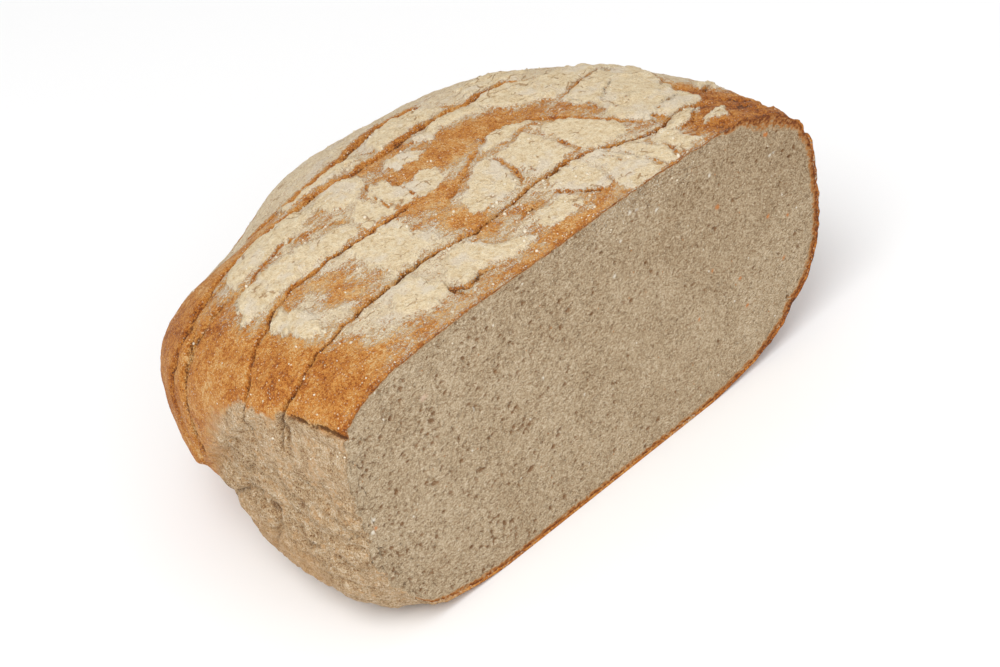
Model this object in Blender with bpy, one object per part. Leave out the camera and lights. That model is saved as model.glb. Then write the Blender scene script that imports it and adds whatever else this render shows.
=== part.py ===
"""Rye bread loaf, cut across and standing on its baked base, as one solid.

+X runs along the cut face, +Z is up and the cut face looks towards -Y.  The
skin is a stack of upright cross-sections, from the cut face back to the
rounded end.  Each section is a flat-bottomed oval whose left and right halves
have shapes of their own, because the left side grew against another loaf in
the oven: it has a crust lip above a pale, torn wall.  Baking cracks run along
the top, parallel to the cut face.
"""

import bmesh
import bpy
import numpy as np
from mathutils import Vector, noise

# Overall size, in metres
DEPTH = 0.146            # cut face to the far end
HEIGHT = 0.103           # base to the top of the dome
REACH_LEFT = 0.116       # widest half-length on the torn side
REACH_RIGHT = 0.112      # widest half-length on the crusty end
FULL_UNTIL = 0.039       # the loaf keeps its full section this far back
NARROWING = 0.012        # share by which the section draws in at the cut face

# Heights at which the loaf is widest, and the height of the far end's tip
WIDEST_LEFT = 0.063
WIDEST_RIGHT = 0.058
TIP_HEIGHT = 0.037
TIP_PULL = 4.0           # how late the widest level moves to the tip's height
BASE_SINK = 0.001        # the rounded bottom reaches this far below the base
BASE_FADE = 0.006        # the flat base keeps this height clear of unevenness

# Roundness of the outline seen from above and from the side (2 = ellipse)
PLAN_LEFT = 2.8
PLAN_RIGHT = 2.2
CREST = 3.5
KEEL = 5.0

# Roundness of the sections: upper half at the cut face, upper half at the
# far end, and lower half
SIDE_UP = (5.5, 4.9)     # left, right
SIDE_FAR = (1.9, 3.0)
SIDE_LOW = (5.0, 3.2)
DOME_UP = (3.0, 2.6)
DOME_FAR = 1.9
DOME_LOW = (2.4, 2.8)
TAPER = 0.7              # how early the sections take on their far shape
HALVES_BLEND = 4.0       # how sharply the left shape turns into the right one

# Cut face
CRUST = 0.0032           # thickness of the crust
CRUMB_SINK = 0.0005      # the crumb lies this much behind the crust's edge

# Left wall: crust lip, torn hollow below it, spread foot.  Pairs are the
# distances over which a shape sets in.
WALL_SIDE = (-0.055, -0.090)
WALL_DEPTH = (0.146, 0.105)
WALL_TURNS = (0.5 * np.pi, np.pi + 1.2)
LIP_HEIGHT = 0.087       # lip at the cut face
LIP_DROP = 0.052         # how far the lip falls towards the far end
LIP_DROP_FROM = 0.026
LIP_DROP_TO = 0.100
LIP_STEP = 0.0028        # wall stands back this far under the lip
LIP_EDGE = (0.0005, -0.0035)
TEAR_RISE = (0.004, 0.016)
FOOT_SPREAD = 0.0040
FOOT_HEIGHT = 0.016
FOOT_SIZE = 0.016
FOOT_SIDE = (-0.080, -0.100)
FOOT_START = (-0.004, 0.016)
FOOT_SQUARE = 3.7        # section roundness at the foot of the left wall
FOOT_SQUARE_FROM = 0.016
FOOT_UNTIL = 0.080
FOOT_SPREAD_FADE = 0.016
FOOT_SQUARE_FADE = 0.020
PINCH = 0.0070           # notch between the crust bulge and the foot
PINCH_AT = (0.075, 0.021)
PINCH_SIZE = 0.013
TEAR_LUMPS = 0.0022
TEAR_LUMP_SIZE = 0.012

# Shoulder hollow at the far left, and the general unevenness
HOLLOW = 0.0072
HOLLOW_AT = (-0.056, 0.121, 0.080)
HOLLOW_SIZE = 0.028
SWELL = 0.0012
SWELL_SIZE = 0.045
SEED_SHIFT = (7.3, 3.1, 5.7)    # moves the noise to a new place for each seed

# Cracks: distance from the cut face, sideways sway, x range, depth, and the
# lowest point reached on the left wall
CRACK_HALF_WIDTH = 0.0021
CRACKS = (
    {"y": 0.028, "sway": 0.0022, "x": (-0.200, 0.052), "deep": 0.0024, "low": 0.070},
    {"y": 0.055, "sway": 0.0026, "x": (-0.200, -0.040), "deep": 0.0016, "low": 0.074},
    {"y": 0.088, "sway": 0.0024, "x": (-0.200, 0.050), "deep": 0.0022, "low": 0.040},
)
CRACK_FADE = 0.014
CRACK_LOW_FADE = 0.006
CREST_RISE = (0.080, 0.095)     # on the right the cracks keep to the crest

# Sideways sway of the cracks: a wave along the loaf and a ripple on it
SWAY_WAVE = 0.062
SWAY_REACH = 0.013
SWAY_START = 0.012
SWAY_RISE = (0.060, 0.080)
CRACK_PHASE = 2.1
RIPPLE_SHARE = 0.3
RIPPLE_RATE = 2.35

# Mesh fineness
COLUMNS = 132
FIELD_STEP = 0.0056      # spacing of the sections between the cracks
FAR_SECTIONS = 12
FAR_BUNCHING = 1.15      # how much the last sections crowd towards the tip
TIP_MARGIN = 0.35        # share of a section left between the last one and the tip
FINE_TURNS = 6001
LIP_SPAN = 18            # columns on each side of the lip that bend to follow it
LIP_MARGIN = 0.25

FULL_TURN = 2.0 * np.pi
CRUST_COLOUR = (0.56, 0.36, 0.18, 1.0)
CRUST_ROUGHNESS = 0.85


def mix(a, b, w):
    """Blend from a to b."""
    return a + (b - a) * w


def smooth(edge0, edge1, value):
    """Soft step from 0 at edge0 to 1 at edge1."""
    t = np.clip((value - edge0) / (edge1 - edge0), 0.0, 1.0)
    return t * t * (3.0 - 2.0 * t)


def shrink(t, power):
    """Half-width of a superellipse at share t of its length."""
    return np.clip(1.0 - t ** power, 0.0, 1.0) ** (1.0 / power)


def section(y, turn):
    """x and z of the plain skin at distance y, at an angle around the section.

    The angle starts on the right, passes over the top to the left and comes
    back along the base.
    """
    t = np.clip((y - FULL_UNTIL) / (DEPTH - FULL_UNTIL), 0.0, 1.0)
    near_cut = np.clip(1.0 - y / FULL_UNTIL, 0.0, 1.0)
    across, rise = np.cos(turn), np.sin(turn)
    left = 0.5 - 0.5 * np.tanh(across * HALVES_BLEND)
    upper = rise >= 0.0
    reach = mix(REACH_RIGHT * shrink(t, PLAN_RIGHT), REACH_LEFT * shrink(t, PLAN_LEFT), left)
    reach = reach * (1.0 - NARROWING * near_cut ** 2)
    top = TIP_HEIGHT + (HEIGHT - TIP_HEIGHT) * shrink(t, CREST)
    bottom = TIP_HEIGHT - (TIP_HEIGHT + BASE_SINK) * shrink(t, KEEL)
    widest = mix(mix(WIDEST_RIGHT, WIDEST_LEFT, left), TIP_HEIGHT, t ** TIP_PULL)
    widest = np.clip(widest, bottom, top)
    far = t ** TAPER
    side_up = mix(mix(SIDE_UP[1], SIDE_UP[0], left), mix(SIDE_FAR[1], SIDE_FAR[0], left), far)
    side = np.where(upper, side_up, mix(SIDE_LOW[1], SIDE_LOW[0], left))
    dome_up = mix(mix(DOME_UP[1], DOME_UP[0], left), DOME_FAR, far)
    square = smooth(0.0, FOOT_SQUARE_FROM, y)
    square = square * smooth(FOOT_UNTIL + FOOT_SQUARE_FADE, FOOT_UNTIL, y)
    dome_low = mix(DOME_LOW[1], mix(DOME_LOW[0], FOOT_SQUARE, square), left)
    dome = np.where(upper, dome_up, dome_low)
    x = reach * np.sign(across) * np.abs(across) ** (2.0 / side)
    half_height = np.where(upper, top - widest, bottom - widest)
    z = widest + half_height * np.abs(rise) ** (2.0 / dome)
    return x, np.maximum(z, 0.0)


def lip_height(y):
    """Height of the crust's lower edge on the left wall."""
    return LIP_HEIGHT - LIP_DROP * smooth(LIP_DROP_FROM, LIP_DROP_TO, y)


def even_turns():
    """Angles that space the columns evenly around the first section."""
    fine = np.linspace(0.0, FULL_TURN, FINE_TURNS)
    x, z = section(0.0, fine)
    run = np.concatenate(([0.0], np.cumsum(np.hypot(np.diff(x), np.diff(z)))))
    wanted = np.arange(COLUMNS) / COLUMNS * run[-1]
    return np.interp(wanted, run, fine)


def lip_turn(y, fine):
    """Angle at which the left wall of the section at y meets the lip."""
    _, z = section(y, fine)
    on_wall = (fine > WALL_TURNS[0]) & (fine < WALL_TURNS[1])
    gap = np.where(on_wall, np.abs(z - lip_height(y)), np.inf)
    return fine[np.argmin(gap)]


def turn_grid(distances):
    """Angles for the sections at the distances, with one column along the lip."""
    base = even_turns()
    fine = np.linspace(0.0, FULL_TURN, FINE_TURNS)
    lip_first = lip_turn(0.0, fine)
    lip_column = int(np.argmin(np.abs(base - lip_first)))
    start, stop = base[lip_column - LIP_SPAN], base[lip_column + LIP_SPAN]
    rows = []
    for y in distances:
        here = np.clip(lip_turn(y, fine), start + LIP_MARGIN, stop - LIP_MARGIN)
        even = (0.0, start, base[lip_column], stop, FULL_TURN)
        bent = (0.0, start, here, stop, FULL_TURN)
        rows.append(np.interp(base, even, bent))
    return np.array(rows)


def stations():
    """Distances of the sections from the cut face, three to every crack."""
    found = [0.0]
    for crack in CRACKS:
        first = crack["y"] - CRACK_HALF_WIDTH
        count = max(1, round((first - found[-1]) / FIELD_STEP))
        found.extend(np.linspace(found[-1], first, count + 1)[1:])
        found.append(crack["y"])
        found.append(crack["y"] + CRACK_HALF_WIDTH)
    rounded = DEPTH - FULL_UNTIL
    start = np.arcsin(((found[-1] - FULL_UNTIL) / rounded) ** FAR_BUNCHING)
    for step in range(1, FAR_SECTIONS + 1):
        lean = mix(start, 0.5 * np.pi, step / (FAR_SECTIONS + TIP_MARGIN))
        found.append(FULL_UNTIL + rounded * np.sin(lean) ** (1.0 / FAR_BUNCHING))
    return np.array(found)


def sway(x, y):
    """Sideways drift of the cracks and of the skin close beside them."""
    drift = np.zeros_like(x)
    for index, crack in enumerate(CRACKS):
        near = np.exp(-((y - crack["y"]) / SWAY_REACH) ** 2)
        phase = x / SWAY_WAVE * FULL_TURN
        wave = np.sin(phase + CRACK_PHASE * index)
        ripple = RIPPLE_SHARE * np.sin(RIPPLE_RATE * phase + index)
        drift = drift + near * crack["sway"] * (wave + ripple)
    return drift


def noise_at(points, size, seed):
    """Smooth noise, about -1 to 1, over an array of points."""
    shift = seed * Vector(SEED_SHIFT)
    flat = points.reshape(-1, 3)
    values = [noise.noise(Vector(p) / size + shift) for p in flat]
    return np.array(values).reshape(points.shape[:-1])


def relief(points):
    """Distance by which the skin stands out of, or into, its plain shape."""
    x, y, z = points[..., 0], points[..., 1], points[..., 2]
    height = SWELL * noise_at(points, SWELL_SIZE, 1)
    away = np.linalg.norm(points - np.array(HOLLOW_AT), axis=-1)
    height = height - HOLLOW * np.exp(-(away / HOLLOW_SIZE) ** 2)

    wall = smooth(*WALL_SIDE, x) * smooth(*WALL_DEPTH, y)
    below_lip = smooth(*LIP_EDGE, z - lip_height(y)) * wall
    height = height - LIP_STEP * below_lip * smooth(*TEAR_RISE, z)
    height = height + TEAR_LUMPS * below_lip * noise_at(points, TEAR_LUMP_SIZE, 2)
    foot = np.exp(-((z - FOOT_HEIGHT) / FOOT_SIZE) ** 2)
    foot = foot * smooth(FOOT_UNTIL, FOOT_UNTIL - FOOT_SPREAD_FADE, y)
    height = height + FOOT_SPREAD * foot * smooth(*FOOT_SIDE, x) * smooth(*FOOT_START, y)
    pinch = np.hypot(y - PINCH_AT[0], z - PINCH_AT[1]) / PINCH_SIZE
    height = height - PINCH * np.exp(-pinch ** 2) * wall
    return height


def groove(distances, points):
    """Depth of the cracks on the grid of sections."""
    x, z = points[..., 0], points[..., 2]
    depth = np.zeros_like(x)
    for crack in CRACKS:
        on_crack = np.isclose(distances, crack["y"])[:, None]
        start, stop = crack["x"]
        along = smooth(start, start + CRACK_FADE, x) * smooth(stop, stop - CRACK_FADE, x)
        down = smooth(crack["low"] - CRACK_LOW_FADE, crack["low"] + CRACK_LOW_FADE, z)
        on_top_or_left = np.where(x > 0.0, smooth(*CREST_RISE, z), 1.0)
        depth = depth + np.where(on_crack, crack["deep"] * along * down * on_top_or_left, 0.0)
    return depth


def grid_normals(points):
    """Outward directions of a grid that closes on itself along its columns."""
    around = np.roll(points, -1, axis=1) - np.roll(points, 1, axis=1)
    along = np.gradient(points, axis=0)
    normal = np.cross(along, around)
    return normal / np.maximum(np.linalg.norm(normal, axis=-1, keepdims=True), 1e-9)


def skin_points():
    """Grid of skin points: one row per section, one column around it."""
    rows = stations()
    turns = turn_grid(rows)
    y = np.repeat(rows[:, None], COLUMNS, axis=1)
    x, z = section(y, turns)
    y = y + sway(x, y) * smooth(0.0, SWAY_START, y) * smooth(*SWAY_RISE, z)
    x, z = section(y, turns)
    points = np.stack([x, y, z], axis=-1)
    normal = grid_normals(points)
    off_base = smooth(0.0, BASE_FADE, z)
    move = (relief(points) - groove(rows, points)) * off_base
    moved = points + normal * move[..., None]
    moved[0, :, 1] = 0.0
    moved[:, :, 1] = np.maximum(moved[:, :, 1], 0.0)
    moved[:, :, 2] = np.maximum(moved[:, :, 2], 0.0)
    moved[..., 2] = np.where(z <= 0.0, 0.0, moved[..., 2])
    return moved


def crumb_edge(outline):
    """Line on the cut face where the crumb meets the crust."""
    ahead = np.roll(outline, -1, axis=0) - np.roll(outline, 1, axis=0)
    inward = np.stack([-ahead[:, 2], np.zeros(COLUMNS), ahead[:, 0]], axis=-1)
    inward = inward / np.linalg.norm(inward, axis=1, keepdims=True)
    crumb = outline + inward * CRUST
    crumb[:, 1] = CRUMB_SINK
    return crumb


def build_loaf():
    """Make the closed loaf mesh, standing centred on the origin."""
    skin = skin_points()
    tip = np.array((skin[-1, :, 0].mean(), DEPTH, TIP_HEIGHT))
    rows = [crumb_edge(skin[0])] + list(skin)
    everything = np.concatenate(rows)
    middle = 0.5 * (everything.min(axis=0) + everything.max(axis=0))
    shift = np.array((-middle[0], -0.5 * DEPTH, 0.0))

    mesh = bmesh.new()
    grid = [[mesh.verts.new(point + shift) for point in row] for row in rows]
    back = mesh.verts.new(tip + shift)
    for near, far in zip(grid, grid[1:]):
        for column in range(COLUMNS):
            after = (column + 1) % COLUMNS
            mesh.faces.new((near[column], near[after], far[after], far[column]))
    mesh.faces.new(reversed(grid[0]))
    for column in range(COLUMNS):
        after = (column + 1) % COLUMNS
        mesh.faces.new((back, grid[-1][column], grid[-1][after]))
    bmesh.ops.recalc_face_normals(mesh, faces=mesh.faces)
    for face in mesh.faces:
        face.smooth = True
    return mesh


def crust_material():
    """Baked rye crust."""
    material = bpy.data.materials.new("baked_crust")
    material.use_nodes = True
    shader = material.node_tree.nodes["Principled BSDF"]
    shader.inputs["Base Color"].default_value = CRUST_COLOUR
    shader.inputs["Roughness"].default_value = CRUST_ROUGHNESS
    shader.inputs["Metallic"].default_value = 0.0
    return material


for existing in list(bpy.data.objects):
    bpy.data.objects.remove(existing, do_unlink=True)

loaf_mesh = build_loaf()
data = bpy.data.meshes.new("rye_loaf")
loaf_mesh.to_mesh(data)
loaf_mesh.free()
data.materials.append(crust_material())
loaf = bpy.data.objects.new("rye_loaf", data)
bpy.context.scene.collection.objects.link(loaf)
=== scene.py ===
"""Half a rye bread loaf, standing on its baked base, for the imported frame.

Two closed pieces replace the CAD node: the crust, a skin with a shallow
recess behind the cut, and the crumb, a plug with real pores that fills it.
Flour grains lie on the crust and a few flakes lie on the cut face.

All shape work is in millimetres in the loaf's own axes: x along the cut face,
y back from the cut face, z up from the base.  to_frame() carries the points
to the CAD node's box.
"""
import math

import bpy
import numpy as np
from mathutils import Matrix, Vector


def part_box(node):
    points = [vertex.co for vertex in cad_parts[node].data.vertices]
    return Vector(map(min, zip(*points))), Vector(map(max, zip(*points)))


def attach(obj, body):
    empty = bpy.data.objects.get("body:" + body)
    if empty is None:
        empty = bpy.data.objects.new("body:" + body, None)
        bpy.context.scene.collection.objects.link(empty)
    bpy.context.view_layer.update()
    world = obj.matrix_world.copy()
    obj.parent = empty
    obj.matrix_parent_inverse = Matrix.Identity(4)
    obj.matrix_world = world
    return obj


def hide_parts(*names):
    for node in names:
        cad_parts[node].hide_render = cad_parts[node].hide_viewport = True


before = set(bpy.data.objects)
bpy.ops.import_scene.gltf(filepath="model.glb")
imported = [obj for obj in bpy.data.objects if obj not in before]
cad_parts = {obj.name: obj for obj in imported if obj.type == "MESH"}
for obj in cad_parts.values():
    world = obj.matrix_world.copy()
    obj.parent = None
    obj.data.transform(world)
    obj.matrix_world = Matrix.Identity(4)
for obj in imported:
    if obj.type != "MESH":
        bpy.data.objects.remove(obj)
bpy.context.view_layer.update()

NODE_LOW, NODE_HIGH = (np.array(corner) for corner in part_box("rye_loaf"))

# The loaf's box in its own axes, in millimetres
LOAF_LOW = np.array((-115.9, 0.0, 0.0))
LOAF_HIGH = np.array((111.7, 146.0, 103.6))

# Form, as in the CAD solid
DEPTH = 146.0
HEIGHT = 103.0
REACH_LEFT = 116.0
REACH_RIGHT = 112.0
FULL_UNTIL = 39.0
NARROWING = 0.012
WIDEST_LEFT = 63.0
WIDEST_RIGHT = 58.0
TIP_HEIGHT = 37.0
BASE_SINK = 1.0
PLAN_LEFT, PLAN_RIGHT = 2.8, 2.2
CREST, KEEL = 3.5, 5.0
SIDE_UP = (5.5, 4.9)
SIDE_FAR = (1.9, 3.0)
SIDE_LOW = (5.0, 3.2)
DOME_UP = (3.0, 2.6)
DOME_FAR = 1.9
DOME_LOW = (2.4, 2.8)
TAPER = 0.7
FOOT_SQUARE = 3.7
FOOT_UNTIL = 80.0
FOOT_SPREAD = 4.0
FOOT_HEIGHT = 16.0
FOOT_SIZE = 16.0
PINCH = 7.0
PINCH_AT = (75.0, 21.0)
PINCH_SIZE = 13.0

# Crust mesh
TOP_SPACING = 0.98
RIGHT_SPACING = 1.25
BASE_SPACING = 4.5
ROWS = 212
CRACK_ROWS = 1.4         # extra share of rows close to the main cracks

# Crumb mesh
CRUMB_COLUMNS = 430
CRUMB_ROWS = 196

# Main cracks that run along the loaf, as (x, y) from the torn side
CRACK_A = ((-135, 27), (-112, 28), (-105, 25), (-90, 28), (-60, 31), (-42, 31.5),
           (-30, 29), (-22, 28), (-10, 29), (0, 30), (10, 31.5), (22, 31), (32, 28),
           (40, 25), (45, 23), (50, 20), (58, 19), (65, 21.5), (75, 20))
CRACK_B = ((-135, 43), (-116, 43), (-108, 45), (-100, 50), (-92, 53), (-85, 57),
           (-75, 59), (-60, 58.5), (-45, 57), (-20, 56.5))
CRACK_C = ((-135, 89), (-111, 89), (-95, 90), (-85, 92), (-75, 95), (-60, 97),
           (-48, 96), (-30, 95), (-20, 92), (0, 91), (10, 92.5), (30, 91.5),
           (50, 90), (55, 87), (60, 82))
CRACK_D = ((-135, 77), (-112, 79), (-100, 84), (-94, 89))
CRACK_E = ((-64, 113), (-46, 107), (-35, 104), (-20, 104), (-10, 107), (0, 110),
           (12, 113), (20, 112), (30, 109))
ROW_KNOTS = (0.0, 28.0, 55.0, 92.0, 109.0, DEPTH)


def mix(a, b, share):
    """Blend from a to b."""
    return a + (b - a) * share


def smooth(edge0, edge1, value):
    """Soft step from 0 at edge0 to 1 at edge1."""
    t = np.clip((value - edge0) / (edge1 - edge0), 0.0, 1.0)
    return t * t * (3.0 - 2.0 * t)


def shrink(t, power):
    """Half-width of a superellipse at share t of its length."""
    return np.clip(1.0 - t ** power, 0.0, 1.0) ** (1.0 / power)


def hill(value, middle, size):
    """Soft bump of height 1."""
    return np.exp(-((value - middle) / size) ** 2)


# ---------------------------------------------------------------- noise

def lattice(cells, seed):
    """Repeatable pseudo-random numbers 0..1 for whole-number cells."""
    mixed = (cells[..., 0] * 73856093) ^ (cells[..., 1] * 19349663)
    mixed = mixed ^ (cells[..., 2] * 83492791) ^ (seed * 2654435)
    mixed = (mixed ^ (mixed >> 13)) * 1274126177
    mixed = (mixed ^ (mixed >> 16)) & 0x7FFFFFFF
    return mixed / float(0x7FFFFFFF)


def noise(points, size, seed):
    """Smooth noise, about -1 to 1."""
    scaled = points / size
    cell = np.floor(scaled).astype(np.int64)
    inside = scaled - cell
    fade = inside * inside * inside * (inside * (inside * 6.0 - 15.0) + 10.0)
    total = np.zeros(points.shape[:-1])
    for corner in np.ndindex(2, 2, 2):
        offset = np.array(corner)
        here = cell + offset
        across = lattice(here, seed) * 2.0 * np.pi
        lift = lattice(here, seed + 101) * 2.0 - 1.0
        flat = np.sqrt(1.0 - lift * lift)
        away = inside - offset
        slope = away[..., 0] * flat * np.cos(across) + away[..., 1] * flat * np.sin(across)
        slope = slope + away[..., 2] * lift
        weight = np.prod(np.where(offset == 1, fade, 1.0 - fade), axis=-1)
        total += weight * slope
    return total * 1.6


def layered(points, size, seed, layers=3):
    """Noise with finer and weaker layers on top."""
    total = np.zeros(points.shape[:-1])
    share = 1.0
    for layer in range(layers):
        total += share * noise(points, size * 0.5 ** layer, seed + 7 * layer)
        share *= 0.55
    return total


def cells(points, size, seed):
    """Distance to the nearest scattered point, and how near a cell's edge is."""
    scaled = points / size
    base = np.floor(scaled).astype(np.int64)
    first = np.full(points.shape[:-1], 9.0)
    second = np.full(points.shape[:-1], 9.0)
    for step in np.ndindex(3, 3, 3):
        here = base + np.array(step) - 1
        spot = here + np.stack([lattice(here, seed + k) for k in (1, 2, 3)], axis=-1)
        away = np.linalg.norm(scaled - spot, axis=-1)
        second = np.where(away < first, first, np.minimum(second, away))
        first = np.minimum(first, away)
    return first * size, (second - first) * size


# ---------------------------------------------------------------- lines and patches

def line_distance(x, y, line):
    """Signed distance to a broken line, and the length run along it there."""
    best = np.full(x.shape, 1e9)
    side = np.ones(x.shape)
    run = np.zeros(x.shape)
    walked = 0.0
    for (ax, ay), (bx, by) in zip(line, line[1:]):
        length = math.hypot(bx - ax, by - ay)
        share = ((x - ax) * (bx - ax) + (y - ay) * (by - ay)) / length ** 2
        share = np.clip(share, 0.0, 1.0)
        dx = x - ax - share * (bx - ax)
        dy = y - ay - share * (by - ay)
        away = np.hypot(dx, dy)
        nearer = away < best
        best = np.where(nearer, away, best)
        side = np.where(nearer, np.sign((bx - ax) * dy - (by - ay) * dx), side)
        run = np.where(nearer, walked + share * length, run)
        walked += length
    return best * side, run, walked


def patch_distance(x, y, corners):
    """Distance inside (positive) or outside (negative) a many-sided patch."""
    outline = tuple(corners) + (corners[0],)
    inside = np.zeros(x.shape, dtype=bool)
    for (ax, ay), (bx, by) in zip(outline, outline[1:]):
        crosses = (ay > y) != (by > y)
        where = ax + (y - ay) / (by - ay if by != ay else 1e-9) * (bx - ax)
        inside ^= crosses & (x < where)
    away = np.abs(line_distance(x, y, outline)[0])
    return np.where(inside, away, -away)


# ---------------------------------------------------------------- form

def section(y, turn):
    """x and z of the plain skin at distance y, at an angle around the section."""
    t = np.clip((y - FULL_UNTIL) / (DEPTH - FULL_UNTIL), 0.0, 1.0)
    near_cut = np.clip(1.0 - y / FULL_UNTIL, 0.0, 1.0)
    across, rise = np.cos(turn), np.sin(turn)
    left = 0.5 - 0.5 * np.tanh(across * 4.0)
    upper = rise >= 0.0
    reach = mix(REACH_RIGHT * shrink(t, PLAN_RIGHT), REACH_LEFT * shrink(t, PLAN_LEFT), left)
    reach = reach * (1.0 - NARROWING * near_cut ** 2)
    top = TIP_HEIGHT + (HEIGHT - TIP_HEIGHT) * shrink(t, CREST)
    bottom = TIP_HEIGHT - (TIP_HEIGHT + BASE_SINK) * shrink(t, KEEL)
    widest = mix(mix(WIDEST_RIGHT, WIDEST_LEFT, left), TIP_HEIGHT, t ** 4)
    widest = np.clip(widest, bottom, top)
    far = t ** TAPER
    side_up = mix(mix(SIDE_UP[1], SIDE_UP[0], left), mix(SIDE_FAR[1], SIDE_FAR[0], left), far)
    side = np.where(upper, side_up, mix(SIDE_LOW[1], SIDE_LOW[0], left))
    dome_up = mix(mix(DOME_UP[1], DOME_UP[0], left), DOME_FAR, far)
    square = smooth(0.0, 16.0, y) * smooth(FOOT_UNTIL + 20.0, FOOT_UNTIL, y)
    dome_low = mix(DOME_LOW[1], mix(DOME_LOW[0], FOOT_SQUARE, square), left)
    dome = np.where(upper, dome_up, dome_low)
    x = reach * np.sign(across) * np.abs(across) ** (2.0 / side)
    half_height = np.where(upper, top - widest, bottom - widest)
    z = widest + half_height * np.abs(rise) ** (2.0 / dome)
    return x, np.maximum(z, 0.0)


def crack_y(line, x, beyond):
    """Distance back of a crack at x, running level past its ends."""
    xs = np.arange(-140.0, 141.0)
    ys = np.interp(xs, [p[0] for p in line], [p[1] for p in line],
                   left=beyond[0], right=beyond[1])
    blur = hill(np.arange(-8, 9), 0.0, 3.5)
    ys = np.convolve(np.pad(ys, 8, mode="edge"), blur / blur.sum(), mode="valid")
    return np.interp(x, xs, ys)


def follow_cracks(y, x, z):
    """Bend the rows so that they run along the main cracks."""
    knots = [crack_y(CRACK_A, x, (27.0, 26.0)), crack_y(CRACK_B, x, (43.0, 55.0)),
             crack_y(CRACK_C, x, (89.0, 86.0)), crack_y(CRACK_E, x, (110.0, 107.0))]
    knots = [np.zeros_like(x)] + knots + [np.full_like(x, DEPTH)]
    bent = np.array(y, dtype=float)
    for low, high, near, far in zip(ROW_KNOTS, ROW_KNOTS[1:], knots, knots[1:]):
        here = (y >= low) & (y <= high)
        bent = np.where(here, near + (y - low) / (high - low) * (far - near), bent)
    return mix(y, bent, smooth(6.0, 30.0, z))


def column_turns():
    """Angles of the columns: close together on top and left, wide on the base."""
    fine = np.linspace(0.0, 2.0 * np.pi, 20001)
    x, z = section(30.0, fine)
    right = (x > 70.0) & (z < 92.0)
    spacing = np.where(right, RIGHT_SPACING, TOP_SPACING)
    spacing = np.where((z < 3.0) & (np.abs(x) < 95.0), BASE_SPACING, spacing)
    step = np.hypot(np.diff(x), np.diff(z)) / spacing[1:]
    run = np.concatenate(([0.0], np.cumsum(step)))
    count = int(run[-1])
    return np.interp(np.arange(count) / count * run[-1], run, fine)


def row_stations():
    """Distances of the rows: even along the skin, closer at the main cracks."""
    far = 1.0 - (1.0 - np.linspace(0.0, 1.0, 6001)) ** 7
    y = np.concatenate((np.linspace(0.0, FULL_UNTIL, 1200)[:-1],
                        mix(FULL_UNTIL, DEPTH, far)))
    crest = section(y, np.full_like(y, 0.5 * np.pi))[1]
    flank = 0.5 * (section(y, np.zeros_like(y))[0] - section(y, np.full_like(y, np.pi))[0])
    step = np.sqrt(np.diff(y) ** 2 + 0.5 * np.diff(crest) ** 2 + 0.5 * np.diff(flank) ** 2)
    dense = 1.0 + CRACK_ROWS * sum(hill(y[1:], knot, 1.8) for knot in ROW_KNOTS[1:5])
    dense = dense + CRACK_ROWS * hill(y[1:], 0.0, 1.5)
    run = np.concatenate(([0.0], np.cumsum(step * dense)))
    return np.interp(np.linspace(0.0, 0.993, ROWS) * run[-1], run, y)


def grid_normals(points):
    """Outward directions of a grid that closes on itself along its columns."""
    around = np.roll(points, -1, axis=1) - np.roll(points, 1, axis=1)
    along = np.gradient(points, axis=0)
    normal = np.cross(along, around)
    return normal / np.maximum(np.linalg.norm(normal, axis=-1, keepdims=True), 1e-9)


# ---------------------------------------------------------------- crust relief

def lip_height(y):
    """Height of the crust's lower edge on the left wall."""
    return 87.0 - 52.0 * smooth(26.0, 100.0, y)


def body_relief(points):
    """Large swells, the left wall's hollow and foot, as in the CAD solid."""
    x, y, z = points[..., 0], points[..., 1], points[..., 2]
    height = 1.2 * noise(points, 45.0, 1)
    away = np.linalg.norm(points - np.array((-56.0, 121.0, 80.0)), axis=-1)
    height = height - 7.2 * hill(away, 0.0, 28.0)
    wall = smooth(-55.0, -90.0, x) * smooth(DEPTH, 105.0, y)
    below_lip = smooth(0.5, -3.5, z - lip_height(y)) * wall
    height = height - 2.8 * below_lip * smooth(4.0, 16.0, z)
    foot = hill(z, FOOT_HEIGHT, FOOT_SIZE) * smooth(FOOT_UNTIL, FOOT_UNTIL - 16.0, y)
    height = height + FOOT_SPREAD * foot * smooth(-80.0, -100.0, x) * smooth(-4.0, 16.0, y)
    pinch = np.hypot(y - PINCH_AT[0], z - PINCH_AT[1])
    return height - PINCH * hill(pinch, 0.0, PINCH_SIZE) * wall


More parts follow.
